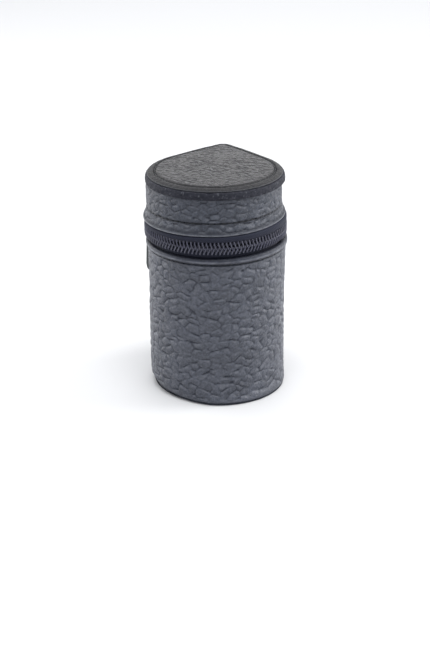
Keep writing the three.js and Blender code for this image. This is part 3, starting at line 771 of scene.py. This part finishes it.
def body_wall():
    """The cup's wall: its cut foot, the pebbled face and the stitched groove under the lip."""
    floor = CUP_RADIUS - GROOVE_DEPTH
    outline = section(
        (25.1, WALL_FOOT, 0, 0.6),
        (CUP_RADIUS - 0.5, WALL_FOOT, 0.3, FINE),
        (CUP_RADIUS - 0.45, CUT_EDGE, 0.1, 0.15),
        (CUP_RADIUS, CUT_EDGE + 0.25, 0.4, FINE),
        (CUP_RADIUS, SEAM - GROOVE_HALF, 0.25, 0.15),
        (floor, SEAM - 0.12, 0.12, 0.12),
        (floor, SEAM + 0.12, 0.12, 0.15),
        (CUP_RADIUS - 0.05, SEAM + GROOVE_HALF, 0.15, 0.3),
        (CUP_RADIUS - 0.05, WALL_TOP, 0.1, 1.0),
        (WALL_INNER, WALL_TOP),
        (WALL_INNER, 2.9, 0.5, 1.0),
        (25.1, 1.6),
    )
    relief, shade_and_dullness, painted_highlight = relief_on(outline, 11, 1.8, SEAM - 0.9)
    rho, z = outline.T
    # Painted shade in the seam's groove, and a dark band of painted shade along the foot.
    shade_and_dullness = np.maximum(shade_and_dullness, 0.8 * (rho > WALL_INNER + 0.3) * band(z, SEAM, GROOVE_SHADE))
    shade_and_dullness = np.maximum(shade_and_dullness, z < CUT_EDGE + 0.2)

    def uneven(s, points):
        rho, z = points[..., 0], points[..., 1]
        left, right = sides(s)
        skin = smooth(WALL_INNER, WALL_INNER + 0.6, rho)
        bulge = right * (RIGHT_BULGE + RIGHT_BULGE_HIGH * smooth(38, 56, z))
        bulge = bulge + LEFT_BULGE * left * (1 - smooth(30, 45, z))
        swell = smooth(0, 6, z) * (1 - smooth(54, 60, z))
        bulge = bulge * smooth(0, 3, z) + swell * wobble(s + 0.35 * z, 0.16, 5)
        foot = 1 - smooth(1.5, 5, z)
        at = plan(s)[0] / CUP_RADIUS
        corner = np.clip(0.55 * at[..., 0] - 0.83 * at[..., 1], 0, 1) ** 2
        bulge = bulge + FOOT_CORNER * corner * foot
        squarer = 0.9 * right * foot * (CUP_RADIUS - rho)
        far_left = left ** 0.55
        squarer = squarer - FOOT_DRAW * far_left * (1 - smooth(0, 7, z)) ** 2
        lift = (FOOT_LIFT * far_left - FOOT_DROP * right) * foot - seam_drop(s) * smooth(50, 60, z)
        return skin * (bulge + squarer), lift

    swept("body_leather_skin", outline, leather, "cup", ["body_leather"],
          relief, attributes={"shade_and_dullness": shade_and_dullness, "wear_and_highlight": RIDGE_HIGHLIGHT * painted_highlight}, shift=uneven)


body_wall()


def base():
    """The leather disc under the cup."""

    def relief(x, y):
        height, shade_and_dullness, painted_highlight = grain(x + DISC_SHIFT, y, DISC_REPEAT, 21, 0.6)
        return 0.4 * height - 0.05, shade_and_dullness, painted_highlight

    edge = [(24.9, 1.5), (25.5, 1.3), (25.65, 0.9), (25.6, 0.5), (25.35, 0.25), (24.9, 0.18), (24.3, 0.16)]
    panel("base_leather_disc", edge, lambda share: 0.05 * (1 - share), binding, "cup",
          ["base_leather"], relief, flip=True)


base()

# ---- Stitches ----

STITCH = 2.5  # pitch of a wall's stitches
STITCH_LENGTH = 0.86 * STITCH
STITCH_LEAN = 0.1
STITCH_RADIUS = 0.17
STITCH_RISE = 0.16
STITCH_PROUD = 0.12  # how far a wall's stitches lie above the floor of their groove


def stitches(name, s, rho, z, lean, length, body, replaced, flat=False):
    """Stitches centred at s, each one arched up out of the leather and sunk at both ends.

    They arch away from the wall, or upwards where flat."""
    t = np.linspace(-1, 1, 7)[None]
    arch = STITCH_RISE * np.sqrt(1 - (0.98 * t) ** 2) - 0.5 * STITCH_RISE
    run = s[:, None] + 0.5 * length * t
    drift = lean * t + 0 * run
    if flat:
        paths = place(run, rho + drift, z + arch)
        reference = np.broadcast_to(np.array((0, 0, 1.0)), paths.shape)
    else:
        paths = place(run, rho + arch, z + drift)
        reference = np.concatenate([plan(run)[1], np.zeros(run.shape + (1,))], -1)
    width = STITCH_RADIUS * (1 - 0.45 * t ** 4) + 0 * run
    tubes(name, paths, np.stack([0.8 * width, width], -1), reference, thread, body, replaced)


def stitch_places(pitch, seed, start=0.0, end=ROUND):
    """The middles of a row of hand-spaced stitches."""
    count = round((end - start) / pitch)
    jitter = np.random.default_rng(seed).uniform(-0.07, 0.07, count)
    return start + (np.arange(count) + 0.5 + jitter) * (end - start) / count


cup_seam = stitch_places(STITCH, 31)
cup_seam_rho = CUP_RADIUS - GROOVE_DEPTH + STITCH_PROUD + 0.75 * sides(cup_seam)[1]
cup_seam_z = SEAM - seam_drop(cup_seam)
stitches("body_seam_stitches", cup_seam, cup_seam_rho[:, None], cup_seam_z[:, None],
         STITCH_LEAN, STITCH_LENGTH, "cup", ["body_stitching"])

# ---- Cup: lip ----

LIP_LOW = 60.95
LIP_HIGH = 63.05
LIP_BULGE = 0.75  # how far the lip stands out to the right
LIP_RISE = 0.45  # how much higher its top is there


def lip():
    """The bound edge that rolls over the top of the cup's wall."""
    outline = section(
        (26.6, LIP_LOW, 0.1, 0.4),
        (28.45, LIP_LOW, 0.7, 0.13),
        (28.2, LIP_HIGH, 1.9, 0.13),
        (26.5, LIP_HIGH, 0.3, 0.4),
    )
    around = STATIONS[:, None]
    rho, z = outline.T
    height, shade_and_dullness, _ = grain(around, z + rho, ROUND, 41, 0.6)
    # Painted shade on the lip's upper part.
    shade_and_dullness = np.maximum(0.3 * shade_and_dullness, 0.4 * smooth(LIP_LOW + 1.1, LIP_LOW + 1.9, z))
    # A painted highlight line along the lip's rolled edge, stronger on the left, where the light falls.
    painted_highlight = band(z, LIP_LOW + 0.8, 0.32) * (rho > 27.8)
    rubbed_and_highlit = 0.65 + 0.45 * highlight_stretches(5, 45)
    wear_and_highlight = (0.6 + 0.4 * sides(around)[0]) * painted_highlight * rubbed_and_highlit

    def uneven(s, points):
        up = smooth(LIP_LOW - 0.2, LIP_HIGH, points[..., 1])
        bulge = wobble(s, 0.1, 42) + LIP_BULGE * sides(s)[1]
        rise = wobble(s, 0.14, 43) + (1 - up) * wobble(s, 0.12, 44, (9, 14, 23))
        return bulge + 0 * up, rise + LIP_RISE * sides(s)[1] * up

    swept("body_lip_binding", outline, lip_leather, "cup", ["body_lip"],
          0.5 * height, attributes={"shade_and_dullness": shade_and_dullness, "wear_and_highlight": wear_and_highlight}, shift=uneven)


lip()

# ---- Zip ----

ZIP_LEVEL = 67.5
STRIP_EDGE = POINT_RADIUS * math.radians(36)  # from the back point to the hinge strip's edge
COIL_START = point_arc + 0.175 * flank
TOOTH = 1.506  # pitch of the teeth
COIL_FACE = 28.46  # middle of the strands that show
COIL_REAR = 27.25
COIL_STEPS = 20  # points in each turn of the filament
STRAND = 0.29
TAPE_END = 1.0  # from the back point to a tape's end, behind the hinge strip
TAPE_STATIONS = 640
TAPE_RECESS = 0.75  # how far a tape draws in behind the strip
RIB = 0.9  # pitch of the weave's ribs
RIB_HIGH = 0.035
HEAD_REACH = 0.14  # how far a head stands past the middle of the zip
COIL_REACH = {1: 2.45, -1: 2.15}  # from the middle of the zip to the outer end of the strands
LEAN = {1: -0.6, -1: -0.85}  # how far round a strand's outer end lies from its head


def zip_tapes():
    """The two tapes: the lower one from inside the lip, the upper one stepping out under the hem."""
    around = np.linspace(TAPE_END, ROUND - TAPE_END, TAPE_STATIONS)
    lower = section(
        (25.75, 58.5, 0, 1.0), (26.25, 58.5, 0, 0.6), (26.25, 62.9, 0.6, 0.3), (26.85, 64.3, 0.5, 0.22),
        (26.85, 67.0, 0.1, 0.2), (26.3, 67.0, 0.1, 0.4), (26.3, 64.4, 0.5, 0.4), (25.75, 63.0, 0.5, 1.0),
    )
    upper = section(
        (26.3, 68.0, 0.1, 0.2), (26.85, 68.0, 0.1, 0.22), (26.9, 69.9, 0.4, 0.2), (28.7, 70.2, 0.5, 0.15),
        (28.65, 71.9, 0.7, 0.15), (27.2, 72.5, 0.5, 0.3), (25.85, 73.0, 0.3, 0.5),
        (25.85, 77.0, 0, 1.0), (25.3, 77.0, 0, 1.0), (25.3, 72.4, 0.5, 0.5), (26.3, 71.2, 0.5, 0.4),
    )
    ribs = RIB_HIGH * np.sin(2 * math.pi * around / RIB)[:, None]

    def uneven(s, points):
        from_point = np.minimum(s, ROUND - s)
        behind_strip = 1 - smooth(STRIP_EDGE - 0.6, STRIP_EDGE + 0.8, from_point)
        outer = smooth(26.5, 28.0, points[..., 0])
        beside_hem = smooth(69.6, 71.6, points[..., 1])
        return -TAPE_RECESS * behind_strip * outer, beside_hem * hem_lift(s)

    swept("body_zip_tape_weave", lower, tape, "cup", ["body_zip_tape"], ribs, around)
    swept("lid_zip_tape_weave", upper, tape, "lid", ["lid_zip_tape"], ribs, around,
          shift=uneven)


def coil(name, half, body, node):
    """One half of the coil: a filament wound into loops whose outer strands all lean one way.

    half is 1 for the lid's half and -1 for the cup's, whose loops stand half a tooth along. A turn
    comes down the front strand, through the head, up the rear strand and out to the next one."""
    count = round((ROUND - 2 * COIL_START) / TOOTH)
    pitch = (ROUND - 2 * COIL_START) / count
    turn = np.arange(COIL_STEPS) / COIL_STEPS
    front_end, head_end, rear_end = 0.36, 0.5, 0.86
    front = np.clip(turn / front_end, 0, 1)
    head = np.clip((turn - front_end) / (head_end - front_end), 0, 1)
    rear = np.clip((turn - head_end) / (rear_end - head_end), 0, 1)
    out = np.clip((turn - rear_end) / (1 - rear_end), 0, 1)
    travel = COIL_REACH[half] + HEAD_REACH
    level = COIL_REACH[half] - travel * front + travel * rear
    level = level - 0.16 * np.sin(math.pi * head) + 0.14 * np.sin(math.pi * out)
    depth = COIL_FACE + 0.1 * np.sin(math.pi * front)
    depth = depth + (COIL_FACE - COIL_REAR) * (smooth(0, 1, out) - smooth(0, 1, head))
    along = LEAN[half] * (1 - smooth(0, 1, front)) + (pitch + LEAN[half]) * smooth(0, 1, rear)
    offset = 0.0 if half > 0 else 0.5 * pitch
    s = COIL_START + (np.arange(count)[:, None] + 0.5) * pitch + along[None] + offset
    s = s.ravel()
    path = place(s, np.tile(depth, count), ZIP_LEVEL + half * np.tile(level, count))[None]
    facing = plan(s)[1]
    round_way = np.stack([-facing[:, 1], facing[:, 0], np.zeros(len(s))], -1)[None]
    tubes(name, path, (STRAND, 0.95 * STRAND), round_way, nylon, body, [node], facets=8)


zip_tapes()
coil("body_zip_coil_loops", -1, "cup", "body_zip_coil")
coil("lid_zip_coil_loops", 1, "lid", "lid_zip_coil")

# ---- Lid: wall ----

LID_RADIUS = 27.05
HEM = 72.4
LID_SEAM = 77.15
LID_TOP = 86.8
LID_BULGE = 0.8  # how far the lid's wall stands out at the left
LID_DRAW = 0.15  # how far it is drawn in at the right


def lid_low(z):
    """How fully a height of the lid's wall follows its hem."""
    return 1 - smooth(HEM, LID_TOP - 3, z)


def lid_bulge(s):
    """How far the lid's wall stands out of its plan."""
    left, right = sides(s)
    return LID_BULGE * left - LID_DRAW * right


def lid_wall():
    """The lid's wall: its folded and flared hem, the stitched groove and the pebbled face."""
    floor = LID_RADIUS - GROOVE_DEPTH
    outline = section(
        (26.7, HEM, 0, 0.5),
        (28.35, HEM, 0.45, 0.12),
        (28.3, HEM + 0.75, 0.25, 0.12),
        (28.1, HEM + 1.3, 0.6, 0.25),
        (27.3, HEM + 3.2, 1.0, 0.3),
        (LID_RADIUS + 0.05, LID_SEAM - GROOVE_HALF, 0.25, 0.15),
        (floor, LID_SEAM - 0.12, 0.12, 0.12),
        (floor, LID_SEAM + 0.12, 0.12, 0.15),
        (LID_RADIUS, LID_SEAM + GROOVE_HALF, 0.2, FINE),
        (LID_RADIUS, LID_TOP, 0, 1.0),
        (25.85, LID_TOP),
        (25.85, HEM + 0.8),
    )
    relief, shade_and_dullness, painted_highlight = relief_on(outline, 51, HEM + 1.2, LID_TOP, scale=0.85)
    rho, z = outline.T
    # Painted shade in the seam's groove and in a wider band round it.
    shade_and_dullness = np.maximum(shade_and_dullness, (rho > 26.2) * band(z, LID_SEAM, GROOVE_SHADE))
    shade_and_dullness = np.maximum(shade_and_dullness, 0.35 * (rho > 26.2) * band(z, LID_SEAM - 0.3, 0.9))
    # A painted highlight line on the hem's lower edge, and painted shade in the fold above it.
    edge = (rho > 27.6) * band(z, HEM + 0.3, 0.33)
    fold = (rho > 27.4) * band(z, HEM + 1.4, 0.9)
    shade_and_dullness = np.maximum(shade_and_dullness, 0.7 * fold) * (1 - edge)
    rubbed_and_highlit = 0.6 + 0.4 * highlight_stretches(4, 54)
    wear_and_highlight = 0.75 * edge * rubbed_and_highlit + RIDGE_HIGHLIGHT * painted_highlight

    def uneven(s, points):
        return lid_bulge(s), lid_low(points[..., 1]) * hem_lift(s)

    swept("lid_wall_leather_skin", outline, lid_leather, "lid", ["lid_wall_leather"],
          relief, attributes={"shade_and_dullness": shade_and_dullness, "wear_and_highlight": wear_and_highlight}, shift=uneven)
    seam = stitch_places(STITCH, 53)
    seam_rho = floor + STITCH_PROUD + lid_bulge(seam)
    seam_z = LID_SEAM + lid_low(LID_SEAM) * hem_lift(seam)
    stitches("lid_seam_stitches", seam, seam_rho[:, None], seam_z[:, None],
             STITCH_LEAN, STITCH_LENGTH, "lid", ["lid_wall_stitching"])


lid_wall()

# ---- Lid: top ----

RIM_LOW = 86.95
RIM_HIGH = 89.95
TOP_SEAM = 24.1
TOP_SEAM_LEVEL = 90.68
TOP_STITCH = 2.2


def rim():
    """The bound rim, with pale specks where its edge is frayed."""
    outline = section(
        (27.1, RIM_LOW, 0.1, 0.2),
        (28.0, RIM_LOW, 0.4, 0.18),
        (27.95, RIM_LOW + 1.9, 0.5, 0.18),
        (27.6, RIM_HIGH, 0.4, 0.2),
        (26.3, RIM_HIGH, 0, 0.5),
        (26.3, 87.6, 0, 0.5),
    )
    rho, z = outline.T
    height, shade_and_dullness, _ = grain(STATIONS[:, None], z + 0.5 * rho, ROUND, 61, 0.5)
    fray = noise(np.arange(FULL)[:, None], z / 0.5, FULL, 62)
    specks = smooth(0.72, 0.95, fray) * (rho > 27.6)

    def uneven(s, points):
        return wobble(s, 0.12, 62) + wobble(s, 0.16, 63, (17, 29, 41, 57)), wobble(s, 0.14, 64)

    swept("lid_rim_edge", outline, binding, "lid", ["lid_rim_binding"],
          0.6 * height + 0.08 * fray * (rho > 27.5),
          attributes={"shade_and_dullness": np.maximum(shade_and_dullness, 0.5), "wear_and_highlight": 0.3 * specks}, shift=uneven)


def top():
    """The lid's top: a band that slopes up to a stitched groove, and the crowned panel inside it."""
    edge = np.array([
        (26.2, 89.95), (26.8, 89.98), (27.05, 90.06), (27.15, 90.2), (27.1, 90.4), (26.9, 90.58),
        (26.5, 90.78), (26.0, 90.98), (25.5, 91.14), (25.1, 91.24), (24.85, 91.2), (24.6, 90.95),
        (24.4, 90.65), (24.25, 90.5), (24.05, 90.46), (23.85, 90.6), (23.65, 90.95),
        (23.4, 91.3), (23.1, 91.5),
    ])
    rho, z = edge[:, :1], edge[:, 1:]

    def relief(x, y):
        height, shade_and_dullness, painted_highlight = grain(x + DISC_SHIFT, 0.9 * y, DISC_REPEAT, 71, 0.6, level_bias=0.5)
        rows = len(edge)
        # Painted shade on the band outside the groove, which slopes away from the light, and in the
        # groove; a painted highlight line on the band's outer edge.
        shade_and_dullness[:rows] = np.maximum(0.5 * smooth(23.9, 24.6, rho), band(rho, TOP_SEAM, 0.6))
        painted_highlight[:rows] = 1.2 * band(z, 90.36, 0.1) * (rho > 26.6)
        return 0.75 * height, shade_and_dullness, 0.8 * painted_highlight

    panel("lid_top_panel", edge, lambda share: 0.5 * (1 - share ** 2), panel_leather, "lid",
          ["lid_top_leather"], relief)
    seam = stitch_places(TOP_STITCH, 73)
    stitches("lid_top_stitches", seam, TOP_SEAM, TOP_SEAM_LEVEL, 0.05, 1.9,
             "lid", ["lid_top_stitching"], flat=True)


rim()
top()

# ---- Lining ----

FLUFF = 0.8  # width of the unevenness in the felt


def linings():
    """Felt on the cup's and the lid's walls, on the floor and under the lid's top."""
    cup_lining = section(
        (23.8, 4.1, 0, 0.6), (24.8, 4.1), (24.8, 61.9, 0.1, 0.3), (25.6, 61.9, 0.2, 0.2),
        (25.6, 62.5, 0.3, 0.2), (23.8, 62.5, 0.8, 0.6),
    )
    lid_lining = section(
        (23.8, 72.5, 0.6, 0.2), (25.2, 72.5, 0.2, 0.2), (25.2, 72.75, 0.1, 0.3), (24.8, 72.8, 0.1),
        (24.8, 85.7, 0, 0.6), (23.8, 85.7, 0, 0.6),
    )
    for name, outline, body, node, seed in (
        ("body_lining_felt", cup_lining, "cup", "body_lining", 81),
        ("lid_lining_felt", lid_lining, "lid", "lid_wall_lining", 82),
    ):
        t = section_lengths(outline)[None]
        pile = 0.06 * noise(STATIONS[:, None] / FLUFF, t / FLUFF, round(ROUND / FLUFF), seed)
        swept(name, outline, felt, body, [node], pile)

    def relief(x, y):
        height = 0.05 * noise(x / FLUFF + 80, y / FLUFF + 80, 200, 83)
        return height, 0 * height, 0 * height

    floor_rim = [(24.7, 3.1), (24.75, 3.6), (24.7, 4.05), (24.4, 4.1)]
    panel("base_lining_felt", floor_rim, lambda share: 0.0, felt, "cup",
          ["base_lining"], relief)
    ceiling_rim = [(24.7, 86.8), (24.75, 86.3), (24.7, 85.85), (24.4, 85.8)]
    panel("lid_top_lining_felt", ceiling_rim, lambda share: 0.0, felt, "lid",
          ["lid_top_lining"], relief, flip=True)


linings()

# ---- Hinge strip ----

STRIP_LOW = 55.0
STRIP_HIGH = 80.0
STRIP_THICK = 1.0
STRIP_HALF = STRIP_EDGE + 0.15  # half its width
STRIP_SEAM_IN = 1.1  # from the strip's edge to its line of stitches


def strip_back(z):
    """How far out the strip's inner face lies: on the wall, over the lip and hem, and on the lid."""
    return np.interp(z, (55.0, 60.3, 61.2, 63.0, 67.5, 71.8, 73.6, 75.8, 80.0),
                     (27.72, 27.74, 28.42, 28.5, 28.55, 28.5, 28.4, 27.5, 27.2))


def hinge_strip():
    """The strip of leather over the back point, which the lid swings on."""
    steps_s, steps_z = 41, 90
    u = np.linspace(-1, 1, steps_s)
    v = np.linspace(0, 1, steps_z)
    z = STRIP_LOW + (STRIP_HIGH - STRIP_LOW) * v
    s = STRIP_HALF * u
    edge = np.maximum(np.abs(u)[:, None] ** 16, (np.abs(2 * v - 1)[None]) ** 40)
    height, shade_and_dullness, _ = grain(s[:, None] + 60, z[None], ROUND, 91, 0.8)
    groove = 0.12 * band(STRIP_HALF - np.abs(s)[:, None], STRIP_SEAM_IN, 0.35)
    inner = strip_back(z)[None] + 0 * s[:, None]
    outer = inner + STRIP_THICK * (1 - 0.5 * edge) + height * (1 - edge) - groove
    back = place(s[:, None], inner, z[None])
    front = place(s[:, None], outer, z[None])
    points = np.concatenate([front.reshape(-1, 3), back.reshape(-1, 3)])
    face = grid_faces(steps_s, steps_z, False, False)
    total = steps_s * steps_z
    faces = face.tolist() + (face[:, ::-1] + total).tolist()
    ring = (
        [i * steps_z for i in range(steps_s)]
        + [(steps_s - 1) * steps_z + j for j in range(1, steps_z)]
        + [i * steps_z + steps_z - 1 for i in reversed(range(steps_s - 1))]
        + [j for j in reversed(range(1, steps_z - 1))]
    )
    for a, b in zip(ring, ring[1:] + ring[:1]):
        faces.append([b, a, a + total, b + total])
    uv = np.stack(np.broadcast_arrays(s[:, None] + 60, z[None]), -1).reshape(-1, 2)
    attribute = np.concatenate([shade_and_dullness.ravel(), 0 * shade_and_dullness.ravel()])
    return mesh_object("hinge_strip", points, faces, binding, None,
                       ["hinge_strip_lower", "hinge_strip_upper"], {"shade_and_dullness": attribute},
                       np.concatenate([uv, uv]))


def strip_stitches():
    """Rows across the strip's ends and down its edges, where it is sewn to the cup and to the lid."""
    half_s = STRIP_HALF - STRIP_SEAM_IN
    for name, body, node, end_z, levels in (
        ("hinge_strip_stitches_lower", "cup", "hinge_strip_lower", STRIP_LOW + 1.1, (57.4, 59.4)),
        ("hinge_strip_stitches_upper", "lid", "hinge_strip_upper", STRIP_HIGH - 1.1, (75.4, 77.4)),
    ):
        across = stitch_places(1.75, 95, -half_s, half_s)
        face = strip_back(end_z) + STRIP_THICK - 0.04
        stitches(name + "_across", across, face, end_z, 0.05, 1.45, body, [node])
        s, z = (grid.ravel() for grid in np.meshgrid((-half_s, half_s), levels))
        face = strip_back(z) + STRIP_THICK - 0.1
        stitches(name + "_along", s, face[:, None], z[:, None], 0.75, 0.02, body, [node])


strip = hinge_strip()
strip_stitches()
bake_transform(strip)

# ---- Slider, pull and stops ----


def rounded_copy(node, name, width):
    """A copy of a CAD node's shape with its flat faces joined and its sharp edges rounded."""
    mesh = frame["nodes"][node].data.copy()
    mesh.name = name
    work = bmesh.new()
    work.from_mesh(mesh)
    bmesh.ops.remove_doubles(work, verts=work.verts, dist=1e-6)
    bmesh.ops.dissolve_limit(work, angle_limit=math.radians(1), verts=work.verts, edges=work.edges)
    work.to_mesh(mesh)
    work.free()
    mesh.materials.clear()
    mesh.materials.append(metal)
    piece = bpy.data.objects.new(name, mesh)
    bpy.context.scene.collection.objects.link(piece)
    bevel = piece.modifiers.new("bevel", "BEVEL")
    bevel.width = width * MM
    bevel.segments = 3
    bevel.limit_method = "ANGLE"
    bevel.angle_limit = math.radians(35)
    mesh.polygons.foreach_set("use_smooth", [True] * len(mesh.polygons))
    normals = piece.modifiers.new("normals", "WEIGHTED_NORMAL")
    normals.keep_sharp = True
    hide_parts(node)
    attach(piece, next(b for b in ("cup", "lid", "slider", "pull_link", "pull_tab")
                        if frame["nodes"][node].parent == frame["bodies"][b]))


rounded_copy("slider_body", "slider_casting", 0.16)
rounded_copy("pull_tab", "pull_tab_plate", 0.22)
for node in ("body_stop_left", "body_stop_right", "lid_stop_left", "lid_stop_right"):
    rounded_copy(node, node + "_crimp", 0.4)


LINK_REACH = 1.25  # radius of the link's two ends
LINK_SPAN = 1.6  # the straight between them
ARC_POINTS = 14


def pull_link():
    """An oval of wire round the slider's bridge, standing in the plane of the outward direction."""
    joint = next(j for j in frame["joints"] if j["name"] == "link_swing")
    top_middle = np.array(joint["pos_m"]) / MM
    outward = np.array((top_middle[0], top_middle[1], 0.0))
    outward /= np.linalg.norm(outward)
    upright = np.array((0, 0, 1.0))
    turn = np.linspace(0, math.pi, ARC_POINTS)
    arcs = [(a, 0) for a in turn] + [(a + math.pi, LINK_SPAN) for a in turn]
    path = np.array([
        top_middle + LINK_REACH * math.cos(a) * outward + (LINK_REACH * math.sin(a) - drop) * upright
        for a, drop in arcs
    ])[None]
    side = np.cross(upright, outward)
    reference = np.broadcast_to(side, path.shape)
    tubes("pull_link_wire", path, (0.42, 0.34), reference, metal, "pull_link",
          ["pull_link"], facets=12, closed=True)


pull_link()
